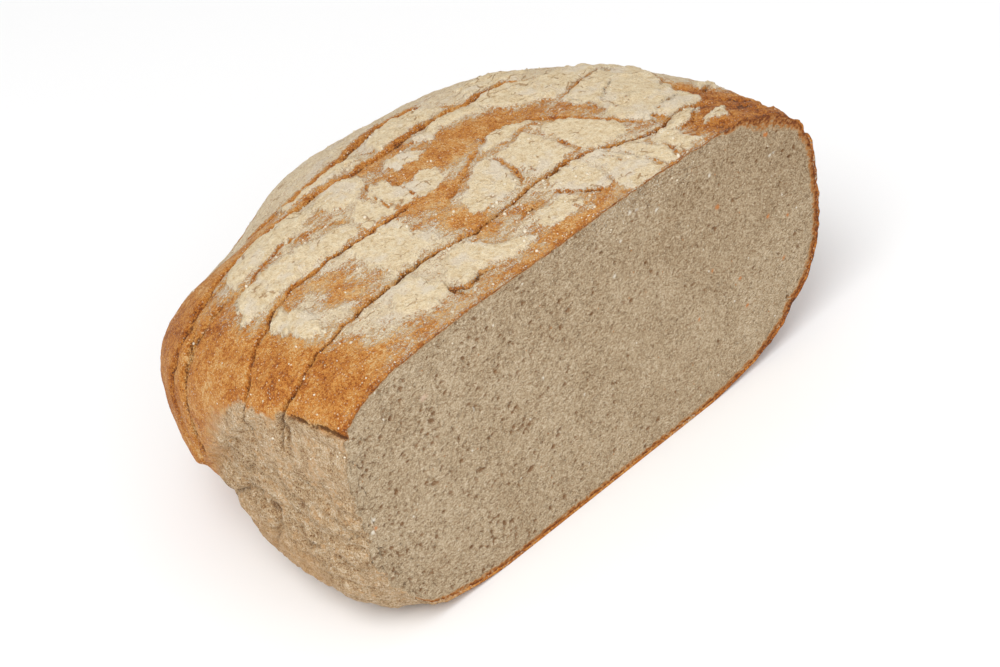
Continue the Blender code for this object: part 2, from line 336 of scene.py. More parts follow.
# Cracks on top: line, half-width, depth, width of the bared slope behind it
# (negative: in front of it), darkness of the dark crust and painted shade inside it
TOP_CRACKS = (
    (CRACK_A, 0.65, 2.6, 1.2, 1.1),
    (CRACK_B, 0.55, 1.5, 1.4, 0.95),
    (CRACK_C, 0.95, 2.8, 3.6, 1.2),
    (CRACK_D, 1.2, 3.0, 1.8, 1.1),
    (CRACK_E, 1.5, 3.6, 5.5, 1.2),
    (((-22, 45), (-10, 50), (0, 56), (8, 60), (15, 64)), 0.5, 0.8, 3.0, 0.35),
    (((15, 64), (25, 68), (38, 60), (45, 48), (52, 33), (57, 25)), 0.6, 1.0, 2.4, 0.4),
    (((-11, 103), (-7, 99), (-4, 95)), 0.5, 0.9, 1.0, 0.7),
    (((25, 104), (29, 99), (33, 95), (36, 92)), 1.2, 1.8, 1.6, 0.5),
    (((-11, 19), (-5, 21.5), (5, 21)), 0.7, 1.6, 1.4, 1.0),
    (((8, 25), (10, 20), (13, 14), (20, 6)), 0.6, 1.2, 1.2, 0.8),
    (((-47, 3), (-48, 14), (-45, 9), (-35, 10.5), (-30, 8)), 0.6, 1.3, 1.2, 0.85),
    (((12, 56), (11, 44), (8, 38), (3, 34)), 0.6, 0.9, 1.2, 0.5),
    (((15, 43), (14, 38), (14, 33)), 0.6, 0.8, 1.0, 0.55),
    (((31, 49), (31.5, 42), (31, 34)), 0.6, 0.8, 1.0, 0.5),
    (((-29, 60), (-27, 70), (-24, 78), (-20, 84)), 0.4, 0.7, 0.8, 0.6),
    (((-19, 57), (-18, 64), (-17, 72), (-15, 78)), 0.4, 0.7, 0.9, 0.6),
    (((55, 64), (62, 65), (70, 68), (80, 70), (98, 72)), 0.6, 1.2, 1.8, 0.6),
    (((53, 60), (56, 50), (54, 40)), 0.4, 0.7, 0.8, 0.4),
    (((56, 47), (64, 52), (76, 60)), 0.35, 0.5, 0.7, 0.5),
    (((55, 41), (66, 43), (73, 46)), 0.35, 0.5, 0.7, 0.55),
    (((56, 22), (62, 27), (70, 30), (80, 31)), 0.4, 0.7, 0.8, 0.7),
    (((57, 13), (66, 14), (74, 18), (78, 23)), 0.6, 1.0, 1.6, 0.6),
    (((28, 27), (33, 20), (34, 12)), 0.5, 0.8, 1.2, 0.5),
    (((37, 13), (40, 7), (40, 1)), 0.6, 0.8, 1.4, 0.5),
    (((47, 15), (49, 9), (47, 3)), 0.5, 0.8, 1.2, 0.45),
    (((-60, 78), (-50, 75), (-43, 71), (-40, 66)), 0.5, 0.7, 1.2, 0.4),
    (((-90, 76), (-78, 77), (-62, 80), (-48, 78)), 0.4, 0.6, 1.0, 0.4),
    (((84, 24), (90, 29), (100, 33)), 0.7, 1.3, 2.0, 0.7),
    (((80, 24), (92, 15), (106, 10)), 0.7, 1.4, 2.4, 0.6),
    (((82, 24), (84, 36), (88, 48), (92, 60)), 0.8, 1.2, 2.4, 0.5),
)

# Creases and folds on the left wall: line in (y, z), half-width, depth, darkness of the painted shade
# in them
WALL_CREASES = (
    (((90, 100), (89, 86), (88, 70), (86, 56), (83, 42)), 0.9, 2.0, 1.0),
    (((80, 98), (79, 86), (78, 72), (76, 58), (73, 46)), 0.9, 1.8, 0.95),
    (((-4, 89), (8, 89), (16, 88.4), (27, 87.6)), 0.6, 1.6, 1.1),
    (((27, 88), (25.5, 80), (27, 72)), 0.8, 1.8, 1.1),
    (((44, 82), (42, 72), (40, 62)), 0.5, 0.8, 0.45),
    (((70, 34), (62, 40), (54, 45), (44, 48)), 1.2, 2.6, 1.0),
    (((44, 47), (42, 38), (46, 30), (52, 20)), 0.8, 1.6, 0.8),
    (((34, 33), (26, 36), (18, 37)), 0.7, 1.6, 0.9),
    (((36, 30), (28, 26), (20, 27), (14, 24)), 0.6, 1.3, 0.7),
    (((30, 20), (24, 14), (14, 13)), 0.6, 1.2, 0.7),
    (((18, 37), (21, 30), (22, 22)), 0.6, 1.0, 0.45),
    (((30, 61), (21, 63), (12, 61)), 0.5, 0.9, 0.5),
    (((24, 63), (16, 66), (9, 69)), 0.4, 0.7, 0.4),
    (((12, 28), (9, 23), (7, 20)), 0.5, 1.0, 0.6),
    (((40, 52), (34, 50), (29, 46)), 0.5, 0.8, 0.4),
    (((20, 51), (15, 48), (8, 46)), 0.5, 0.8, 0.35),
    (((56, 52), (50, 55), (47, 60), (44, 62)), 0.9, 1.6, 0.75),
    (((70, 62), (60, 58), (54, 50)), 0.5, 0.9, 0.4),
    (((48, 22), (36, 15), (20, 12)), 0.7, 1.0, 0.4),
)

# Floured plates on top, by their corners
PLATES = (
    ((53, 59), (60, 64), (74, 67), (93, 66), (88, 52), (82, 38), (80, 24), (68, 23), (58, 27),
     (53, 34), (55, 46)),
    ((33, 88), (50, 90), (54, 86), (60, 81), (90, 82), (98, 76), (92, 71), (74, 68), (62, 64),
     (53, 66), (44, 72), (37, 78)),
    ((37, 92), (40, 104), (58, 104), (66, 94), (58, 89), (52, 92)),
    ((-15, 35), (-12, 44), (-4, 50), (9, 57), (10, 50), (8, 42), (3, 35), (-5, 33)),
    ((12, 34), (13, 45), (14, 54), (21, 56), (29, 57), (30, 48), (30, 34), (20, 33)),
    ((33, 31), (33, 47), (34, 57), (41, 51), (46, 43), (50, 35), (49, 29), (42, 27)),
    ((13, 60), (20, 66), (29, 65), (35, 60), (27, 61), (19, 59)),
    ((-18, 57), (-18, 68), (-7, 70), (-4, 66), (-8, 57)),
    ((-27, 61), (-28, 68), (-25, 77), (-19, 77), (-19, 60)),
    ((-41, 59), (-39, 69), (-31, 76), (-29, 68), (-29, 59)),
    ((-12, 78), (-12, 84), (-3, 84), (3, 79), (-3, 76)),
    ((-53, 35), (-54, 56), (-44, 57), (-32, 55), (-34, 45), (-31, 37), (-40, 34)),
    ((-83, 80), (-80, 89), (-70, 94), (-56, 95), (-47, 93), (-41, 88), (-50, 81)),
    ((-40, 79), (-41, 90), (-28, 93), (-20, 88), (-23, 79), (-32, 77)),
    ((-93, 61), (-88, 72), (-76, 75), (-60, 72), (-45, 68), (-44, 61), (-70, 61)),
    ((-6, 94), (-3, 103), (6, 109), (18, 110), (25, 104), (27, 97), (20, 95)),
    ((-45, 107), (-40, 102), (-26, 102), (-13, 102), (-10, 98), (-24, 98), (-44, 101)),
    ((7, 82), (6, 88), (20, 90), (32, 89), (34, 82), (20, 84)),
    ((-65, 15), (-61, 28), (-50, 29), (-48, 14), (-56, 11)),
    ((-46, 11), (-44, 19), (-36, 27), (-28, 27), (-25, 18), (-14, 13), (-16, 8), (-34, 11)),
    ((-8, 9), (-8, 17), (0, 19), (9, 17), (9, 10), (0, 8)),
    ((11, 22), (13, 29), (25, 29), (25, 20), (21, 8), (14, 14)),
    ((23, 1), (24, 8), (28, 19), (27, 27), (34, 27), (37, 15), (39, 1)),
    ((38, 24), (45, 19), (48, 10), (46, 1), (41, 2), (39, 13)),
    ((50, 17), (56, 18), (57, 12), (57, 2), (50, 1), (50, 9)),
    ((58, 14), (60, 20), (67, 22), (75, 20), (72, 16), (64, 14)),
    ((68, 8), (72, 12), (80, 12), (77, 8)),
    ((-90, 36), (-91, 52), (-84, 55), (-81, 44), (-84, 32)),
    ((88, 30), (92, 38), (98, 36), (96, 28)),
)

# Dusted (positive) and bare (negative) areas on top: x, y, reach in x and y, amount
DUSTING = (
    (-68, 68, 26, 14, 0.26), (-62, 34, 30, 12, 0.24), (-35, 20, 26, 12, 0.22),
    (-80, 40, 12, 10, 0.20), (-60, 20, 12, 8, 0.22), (-10, 40, 30, 10, 0.12),
    (0, 108, 60, 12, 0.20), (20, 124, 80, 14, 0.55), (-34, 124, 34, 12, 0.30),
    (30, 44, 22, 16, 0.14), (60, 98, 40, 16, 0.50), (-60, 88, 40, 8, 0.22),
    (34, 12, 26, 12, 0.24), (-70, 18, 14, 10, 0.12), (96, 50, 14, 24, 0.30),
    (-108, 20, 16, 26, -0.50), (-90, 13, 11, 11, -0.42), (-106, 70, 14, 40, -0.50),
    (-68, 43, 7, 10, -0.55), (-20, 34, 7, 10, -0.45), (-12, 54, 14, 4, -0.30),
    (-4, 3, 20, 4, -0.40), (5, 73, 22, 6, -0.45), (-12, 88, 14, 4, -0.25),
    (28, 71, 10, 5, -0.40), (92, 9, 24, 15, -0.80), (86, 34, 5, 10, -0.40),
    (-60, 103, 40, 5, -0.35), (-94, 102, 18, 14, -0.60), (-8, 25, 16, 4, -0.25),
    (22, 76, 14, 4, -0.25), (-96, 30, 8, 20, -0.15),
)


def crack_share(x, y, warp, crack):
    """How deep in a crack each point is, and how much on its bared slope."""
    line, wide, _, bared, _ = crack
    away, run, length = line_distance(x + warp[0], y + warp[1], line)
    fade = 4.0 + 5.0 * wide
    ends = smooth(-0.5, fade, run) * smooth(-0.5, fade, length - run)
    behind = away if bared > 0.0 else -away
    slot = np.exp(-((behind - 0.35 * wide) / wide) ** 2) * ends
    slope = np.clip(1.0 - behind / abs(bared), 0.0, 1.0) * (behind > 0.0) * ends
    curl = np.exp(-((behind + 1.8) / 1.3) ** 2) * ends
    return slot, slope, curl


def top_fields(points):
    """Cracks, plates and flour on the top: relief in mm and 0..1 colour fields."""
    x, y, z = points[..., 0], points[..., 1], points[..., 2]
    flat = np.stack([x, y, z * 0.5], axis=-1)
    warp = (0.9 * layered(flat, 7.0, 21), 0.9 * layered(flat, 7.0, 22))
    width = 1.0 + 0.7 * layered(flat, 9.0, 23)
    high = smooth(52.0, 80.0, z)
    left_low = smooth(34.0, 60.0, z) * smooth(-80.0, -100.0, x)
    reachable = {id(CRACK_C): np.maximum(high, left_low), id(CRACK_D): np.maximum(high, left_low)}
    relief = np.zeros(x.shape)
    dark_crust_and_shade = np.zeros(x.shape)
    bared = np.zeros(x.shape)
    for crack in TOP_CRACKS:
        line, _, deep, _, darkness = crack
        slot, slope, curl = crack_share(x, y, warp, crack)
        mask = reachable.get(id(line), smooth(68.0, 80.0, z))
        slot, slope, curl = slot * mask, slope * mask * np.clip(width, 0.3, 2.0), curl * mask
        drop = deep * np.clip(width, 0.4, 1.6) * np.maximum(slot, 0.55 * slope ** 1.5)
        relief = np.minimum(relief, -drop) + 0.10 * deep * curl
        # cracks are darker: dark crust inside them, and painted shade in the slot
        dark_crust_and_shade = np.maximum(dark_crust_and_shade, slot * darkness * np.clip(width + 0.1, 0.25, 1.1))
        bared = np.maximum(bared, smooth(0.0, 0.5, slope) * (0.45 + 0.55 * darkness))

    wide_warp = (2.6 * layered(flat, 13.0, 31), 2.6 * layered(flat, 13.0, 32))
    fine_warp = (1.5 * layered(flat, 4.0, 33), 1.5 * layered(flat, 4.0, 34))
    plate = np.full(x.shape, -20.0)
    for corners in PLATES:
        inside = patch_distance(x + 0.6 * wide_warp[0] + fine_warp[0],
                                y + 0.6 * wide_warp[1] + fine_warp[1], corners)
        plate = np.maximum(plate, inside)
    plate = plate + 0.9 * layered(flat * np.array((0.6, 1.0, 1.0)), 2.2, 37, 2)
    plate = np.where(z > 60.0, plate, -20.0)

    streaked = flat * np.array((0.4, 1.0, 1.0))
    dust = 0.46 + 0.22 * layered(streaked, 8.0, 35) + 0.12 * layered(streaked, 3.0, 36)
    for middle_x, middle_y, reach_x, reach_y, amount in DUSTING:
        away = np.hypot((x + wide_warp[0] - middle_x) / reach_x,
                        (y + wide_warp[1] - middle_y) / reach_y)
        dust = dust + amount * np.exp(-away ** 2)
    return relief, dark_crust_and_shade, bared, plate, dust


def hidden_fields(points):
    """Cracks and flour for the right side and the far end, like those on top."""
    stretched = points * np.array((0.55, 1.0, 1.0))
    shifted = stretched + 5.0 * np.stack([layered(points, 16.0, s) for s in (41, 42, 43)], -1)
    _, edge = cells(shifted, 24.0, 44)
    some = smooth(-0.05, 0.35, noise(points, 24.0, 45))
    slot = np.exp(-(edge / 0.6) ** 2) * some
    slope = smooth(2.4, 0.6, edge) * some
    plate = smooth(1.2, 3.2, edge + 1.2 * layered(points, 5.0, 47))
    plate = plate * smooth(0.02, 0.22, layered(points, 30.0, 46, 2))
    return slot, slope, plate


def crust_fields(points):
    """Relief in millimetres and the named colour fields of the crust."""
    x, y, z = points[..., 0], points[..., 1], points[..., 2]
    relief, dark_crust_and_shade, bared, plate, dust = top_fields(points)

    # the part of the skin that the cut face's side and top do not cover
    back = smooth(112.0, 126.0, y)
    right = smooth(78.0, 66.0, z) * smooth(20.0, 70.0, x)
    hidden = np.maximum(back * smooth(88.0, 76.0, z), right)
    slot, slope, far_plate = hidden_fields(points)
    hidden_on = hidden * smooth(12.0, 30.0, z)
    far_plate = far_plate * hidden * smooth(26.0, 52.0, z)
    relief = relief - hidden_on * 1.3 * np.maximum(slot, 0.5 * slope) + 0.7 * far_plate
    # painted shade, with dark crust, in the cracks of the hidden side
    dark_crust_and_shade = np.maximum(dark_crust_and_shade, hidden_on * slot * 0.7)
    bared = np.maximum(bared, hidden_on * slope * 0.6)

    # left wall
    wall = smooth(-70.0, -96.0, x) * smooth(118.0, 96.0, y)
    edge = np.interp(y, (0, 28, 30, 48, 54, 60, 70, 78, 90), (88.6, 87.6, 86, 84, 78, 72, 54, 38, 12))
    ragged = 3.0 * layered(points, 6.0, 51) * smooth(26.0, 34.0, y)
    soft = mix(0.5, 14.0, smooth(48.0, 66.0, y))
    torn = smooth(soft, -soft, z - edge + ragged) * wall
    wall_warp = (0.8 * layered(points, 6.0, 52), 0.8 * layered(points, 6.0, 53))
    crease = np.zeros(x.shape)
    for line, wide, deep, darkness in WALL_CREASES:
        away, run, length = line_distance(y + wall_warp[0], z + wall_warp[1], line)
        ends = smooth(-0.5, 5.0, run) * smooth(-0.5, 5.0, length - run)
        cut = np.exp(-(away / wide) ** 2) * ends * wall
        relief = relief - deep * cut
        crease = np.maximum(crease, cut * darkness)
    # darker in the creases: painted shade, and painted shadow under the lip's overhang
    dark_crust_and_shade = np.maximum(dark_crust_and_shade, crease * mix(1.0, 0.62, torn * smooth(84.0, 76.0, z)))
    fibre_axes = np.stack([x * 0.5, (y + 0.35 * z) * 0.33, z - 0.35 * y], axis=-1)
    fibre = layered(fibre_axes, 4.0, 54, 4)
    lumps = layered(points, 11.0, 55, 3)
    folds = 1.0 - 2.0 * np.abs(layered(fibre_axes, 8.0, 56, 2))
    rough_wall = smooth(72.0, 62.0, z) * torn * (1.0 - 0.45 * smooth(36.0, 22.0, z))
    smooth_skin = torn - rough_wall
    shreds = 1.5 * fibre + 1.3 * lumps + 1.1 * np.clip(folds, -1.0, 1.0)
    pit = hill(cells(points * np.array((0.5, 0.7, 1.2)), 4.6, 62)[0], 0.0, 0.8)
    pit = pit * smooth(-0.1, 0.4, noise(points, 14.0, 63))
    relief = relief + rough_wall * (shreds - 1.1 * smooth(6.0, 24.0, z) - 1.3 * pit)
    relief = relief + smooth_skin * 0.35 * lumps
    # darker at the low points of the torn shreds and in the pits: painted shade
    dark_crust_and_shade = np.maximum(dark_crust_and_shade, rough_wall * smooth(-0.35, -0.95, fibre + 0.4 * lumps) * 0.6)
    dark_crust_and_shade = np.maximum(dark_crust_and_shade, rough_wall * pit * 0.6)

    # flour: plates win over dust, the torn wall and the low skin carry little
    dust = dust - 0.55 * torn - 0.25 * smooth(40.0, 12.0, z)
    low_dust = 0.10 + 0.30 * smooth(8.0, 76.0, z) + 0.24 * layered(points, 15.0, 57, 4)
    dust = mix(dust, low_dust, hidden * 0.9)
    flour = np.maximum(np.minimum(dust, 0.72), smooth(-1.6, 0.6, plate))
    flour = np.maximum(flour, 0.9 * far_plate)
    flour = flour * (1.0 - 0.85 * np.clip(bared, 0.0, 1.0)) * (1.0 - 0.9 * dark_crust_and_shade)
    raised = smooth(-1.2, 0.6, plate) * (1.0 - bared)
    relief = relief + raised * (1.25 + 0.60 * layered(points, 4.0, 64, 2))

    # how far the crust is baked
    bake = 0.36 + 0.14 * layered(points, 16.0, 58) + 0.14 * bared
    bake = bake + 0.26 * hill(np.hypot((x - 92.0) / 30.0, (y - 8.0) / 22.0), 0.0, 1.0)
    bake = bake + 0.20 * smooth(60.0, 100.0, x) * smooth(95.0, 60.0, z)
    bake = bake + 0.20 * smooth(76.0, 100.0, y) * smooth(-80.0, -102.0, x)
    bake = bake + 0.12 * smooth(-84.0, -104.0, x) * smooth(80.0, 96.0, z)
    bake = bake + 0.15 * smooth(14.0, 2.0, z) * smooth(0.3, 0.0, torn)
    bake = bake + 0.18 * smooth(2.5, 0.5, y) * smooth(86.0, 92.0, z)

    blistered = hill(np.hypot((x - 92.0) / 34.0, (y - 6.0) / 24.0), 0.0, 1.0)
    folded = layered(points * np.array((0.5, 1.0, 1.0)), 6.0, 61, 3)
    relief = relief + blistered * 1.3 * folded
    # the tone follows the folds, paler on their tops and darker in their hollows: painted light and
    # shade on the folds
    bake = bake - blistered * 0.30 * folded
    dark_crust_and_shade = np.maximum(dark_crust_and_shade, blistered * smooth(-0.30, -0.70, folded) * 0.8)
    grain = 0.20 * layered(points, 2.6, 59, 2) + 0.35 * layered(points, 8.0, 60, 2)
    relief = relief + grain * (1.0 - 0.5 * smooth(0.0, 1.0, plate))
    bake = mix(bake, 0.30 + 0.5 * smooth(44.0, 20.0, z) * smooth(8.0, 30.0, y), torn)
    crazed = hill(np.hypot((x - 54.0) / 26.0, (y - 92.0) / 16.0), 0.0, 1.0)
    # crack carries the darkening of cracks, creases, pits and fold hollows: dark crust in the cracks
    # and painted shade
    fields = {"flour": flour, "crack": dark_crust_and_shade, "crazed": crazed, "torn": torn,
              "bake": np.clip(bake, 0.0, 1.0)}
    return relief, fields


# ---------------------------------------------------------------- crust mesh

def to_frame(points):
    """Carry loaf millimetres to the CAD node's box in the frame, in metres."""
    share = (points - LOAF_LOW) / (LOAF_HIGH - LOAF_LOW)
    return NODE_LOW + share * (NODE_HIGH - NODE_LOW)


def crust_grid():
    """Skin points in loaf millimetres and the colour fields on them."""
    turns = column_turns()
    stations = row_stations()
    y = np.repeat(stations[:, None], len(turns), axis=1)
    turn = np.repeat(turns[None, :], len(stations), axis=0)
    x, z = section(y, turn)
    y = follow_cracks(y, x, z)
    x, z = section(y, turn)
    points = np.stack([x, y, z], axis=-1)
    big = body_relief(points)
    small, fields = crust_fields(points)
    off_base = smooth(0.0, 6.0, z)
    tip = smooth(DEPTH - 0.02, DEPTH - 0.6, y)
    normal = grid_normals(points)
    moved = points + normal * ((big + small * mix(0.4, 1.0, tip)) * off_base)[..., None]
    moved[0, :, 1] = 0.0
    moved[:, :, 1] = np.clip(moved[:, :, 1], 0.0, LOAF_HIGH[1])
    moved[..., 2] = np.where(z <= 0.0, 0.0, np.clip(moved[..., 2], 0.0, LOAF_HIGH[2]))
    moved[..., 0] = np.clip(moved[..., 0], LOAF_LOW[0], LOAF_HIGH[0])
    return moved, fields


def inset(outline, distance, y):
    """The outline drawn in by a distance and set back to y."""
    before, after = np.roll(outline, 3, axis=0), np.roll(outline, -3, axis=0)
    along = after - before
    inward = np.stack([-along[:, 2], np.zeros(len(outline)), along[:, 0]], axis=-1)
    inward = inward / np.linalg.norm(inward, axis=1, keepdims=True)
    drawn = outline + inward * distance
    drawn[:, 1] = y
    return drawn


def new_object(name, points, faces, material, fields=None):
    """A smooth-shaded mesh object with per-point fields, in the frame."""
    mesh = bpy.data.meshes.new(name)
    mesh.from_pydata(to_frame(points).tolist(), [], faces)
    mesh.update()
    for label, values in (fields or {}).items():
        layer = mesh.attributes.new(label, "FLOAT", "POINT")
        layer.data.foreach_set("value", np.ascontiguousarray(values, dtype=np.float32))
    mesh.shade_smooth()
    mesh.materials.append(material)
    piece = bpy.data.objects.new(name, mesh)
    bpy.context.scene.collection.objects.link(piece)
    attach(piece, "root")
    return piece


def strip_faces(rings, count, start=0):
    """Faces between consecutive closed rings of points."""
    faces = []
    for ring in range(rings - 1):
        near = start + ring * count
        far = near + count
        for column in range(count):
            after = (column + 1) % count
            faces.append((near + column, near + after, far + after, far + column))
    return faces


# Rings of the recess behind the cut: how far in, how far back, and how far back
# on the torn left wall, where the crumb runs out to the skin
RECESS = ((0.28, 0.25, 0.06), (1.7, 1.6, 0.45), (4.6, 5.0, 5.0))


def runs_out(x, z):
    """Share of the torn left wall, where the crumb runs out to the skin."""
    return smooth(-92.0, -106.0, x) * smooth(91.0, 85.0, z)


def make_crust(grid, fields, material):
    """The crust: skin, cut rim and the recess that holds the crumb."""
    count = grid.shape[1]
    outline = grid[0]
    torn = runs_out(outline[:, 0], outline[:, 2])
    rings = [inset(outline, distance, mix(y, torn_y, torn)) for distance, y, torn_y in reversed(RECESS)]
    rows = rings + list(grid)
    tip = np.array((grid[-1, :, 0].mean(), LOAF_HIGH[1], grid[-1, :, 2].mean()))
    points = np.concatenate(rows + [tip[None]])
    faces = strip_faces(len(rows), count)
    faces.append(tuple(range(count - 1, -1, -1)))
    last, end = (len(rows) - 1) * count, len(rows) * count
    for column in range(count):
        faces.append((end, last + column, last + (column + 1) % count))
    whole = {}
    for name, values in fields.items():
        rim = np.repeat(values[:1], len(rings), axis=0)
        flat = np.concatenate([rim.reshape(-1), values.reshape(-1), values[-1, :1]])
        whole[name] = flat
    return new_object("crust", points, [tuple(reversed(face)) for face in faces], material, whole)


# ---------------------------------------------------------------- crumb

# Large pores: x, z, length in millimetres
LARGE_PORES = (
    (-75, 73, 3.2), (-90, 84, 2.2), (-66, 60, 2.6), (-87, 65, 2.2), (-43, 59, 1.8),
    (-37, 46, 2.2), (-45, 48, 1.8), (-80, 46, 2.0), (-8, 47, 1.8), (0, 48, 1.6),
    (-52, 35, 2.0), (-40, 29, 3.0), (-37, 34, 2.0), (-48, 20, 1.8), (-32, 20, 1.8),
    (-78, 38, 2.0), (-70, 17, 2.2), (-3, 27, 1.8), (9, 19, 1.6), (-11, 29, 1.6),
    (68, 73, 1.8), (42, 69, 1.8), (58, 67, 1.8), (97, 42, 2.4), (98, 36, 2.0),
    (98, 74, 2.2), (95, 78, 1.8), (97, 80, 1.6), (93, 87, 1.8), (92, 90, 1.6),
)
# Bran and flour flecks on the cut face: x, z, size in millimetres, whiteness
FLECKS = (
    (60, 75, 1.5, 0.0), (54, 52, 1.1, 0.0), (67, 41, 1.2, 0.0), (45, 37, 1.0, 0.0),
    (69, 28, 1.2, 0.0), (90, 36, 1.1, 0.0), (94, 52, 1.0, 0.0), (84, 57, 1.1, 0.0),
    (87, 89, 1.7, 0.0), (-105, 50.5, 1.3, 0.0), (-76, 83, 1.8, 0.45), (-105, 54, 1.3, 1.0),
    (-106, 50, 1.3, 1.0), (9, 77, 1.0, 1.0), (20, 96, 1.0, 1.0), (23, 95, 1.0, 1.0),
    (32, 90, 1.1, 1.0), (58, 89, 1.0, 1.0), (14, 88, 0.8, 1.0), (-28, 59, 0.7, 1.0),
    (-12, 42, 0.7, 1.0), (-58, 66, 0.7, 1.0), (88, 80, 1.0, 1.0), (90, 80, 0.8, 1.0),
)
PORE_COUNT = 9000
PORE_LEAN = -0.35        # pores lean down to the right


def scatter_pores(rng):
    """Centres, half-lengths and depths of all pores."""
    x = rng.uniform(-118.0, 114.0, PORE_COUNT)
    z = rng.uniform(0.0, 104.0, PORE_COUNT)
    size = 0.30 + 0.27 * rng.gamma(1.4, 0.55, PORE_COUNT)
    size = size * mix(1.08, 0.80, smooth(-60.0, 60.0, x))
    listed = np.array(LARGE_PORES, dtype=float)
    x = np.concatenate([x, listed[:, 0]])
    z = np.concatenate([z, listed[:, 1]])
    size = np.concatenate([np.minimum(size, 1.2), listed[:, 2] * 0.55])
    narrow = rng.uniform(0.45, 0.85, len(x))
    lean = PORE_LEAN + rng.normal(0.0, 0.55, len(x))
    deep = size * rng.uniform(0.6, 1.2, len(x))
    return zip(x, z, size, size * narrow, lean, np.minimum(deep, 1.6))


def crumb_grid(outline):
    """x and z of the front of the crumb, filling the outline column by column."""
    low, high = outline[:, 0].min(), outline[:, 0].max()
    lean = np.linspace(-0.5 * np.pi, 0.5 * np.pi, CRUMB_COLUMNS)
    even = np.linspace(-1.0, 1.0, CRUMB_COLUMNS)
    spread = mix(even, np.sin(lean), 0.12)
    x = mix(low, high, 0.5 + 0.5 * 0.9993 * spread)
    left, right = int(np.argmin(outline[:, 0])), int(np.argmax(outline[:, 0]))
    rolled = np.roll(outline, -right, axis=0)
    turn = (left - right) % len(outline)
    upper, lower = rolled[:turn + 1], np.concatenate([rolled[turn:], rolled[:1]])
    top = np.interp(x, upper[::-1, 0], upper[::-1, 2])
    bottom = np.interp(x, lower[:, 0], lower[:, 2])
    share = np.linspace(0.0, 1.0, CRUMB_ROWS)
    z = bottom[None, :] + share[:, None] * (top - bottom)[None, :]
    return np.repeat(x[None, :], CRUMB_ROWS, axis=0), z


def pore_field(x, z, rng):
    """Depth of the pores below the cut, in millimetres."""
    depth = np.zeros(x.shape)
    columns = x[0]
    bottom, top = z[0], z[-1]
    for px, pz, long, short, lean, deep in scatter_pores(rng):
        first, last = np.searchsorted(columns, (px - long * 1.3, px + long * 1.3))
        if first >= last:
            continue
        middle = min((first + last) // 2, len(columns) - 1)
        span = max(top[middle] - bottom[middle], 1e-3)
        lowest = int((pz - long * 1.3 - bottom[middle]) / span * (CRUMB_ROWS - 1)) - 2
        highest = int((pz + long * 1.3 - bottom[middle]) / span * (CRUMB_ROWS - 1)) + 3
        lowest, highest = max(lowest, 0), min(highest, CRUMB_ROWS)
        if lowest >= highest:
            continue
        dx = x[lowest:highest, first:last] - px
        dz = z[lowest:highest, first:last] - pz
        along = (dx * math.cos(lean) + dz * math.sin(lean)) / long
        across = (dz * math.cos(lean) - dx * math.sin(lean)) / short
        bowl = deep * np.clip(1.0 - along ** 2 - across ** 2, 0.0, 1.0) ** 0.7
        window = depth[lowest:highest, first:last]
        np.maximum(window, bowl, out=window)
    return depth


def fleck_fields(x, z):
    """Shares of bran and of white flour in the flecks on the cut face."""
    flat = np.stack([x, np.zeros_like(x), z], axis=-1)
    ragged = 0.35 * noise(flat, 1.1, 73)
    bran, chalk = np.zeros(x.shape), np.zeros(x.shape)
    for middle_x, middle_z, size, white in FLECKS:
        away = np.hypot((x - middle_x) * 0.8, z - middle_z) / size
        spot = smooth(0.75, 0.35, away + ragged)
        bran = np.maximum(bran, spot * (1.0 - white))
        chalk = np.maximum(chalk, spot * white)
    return bran, chalk


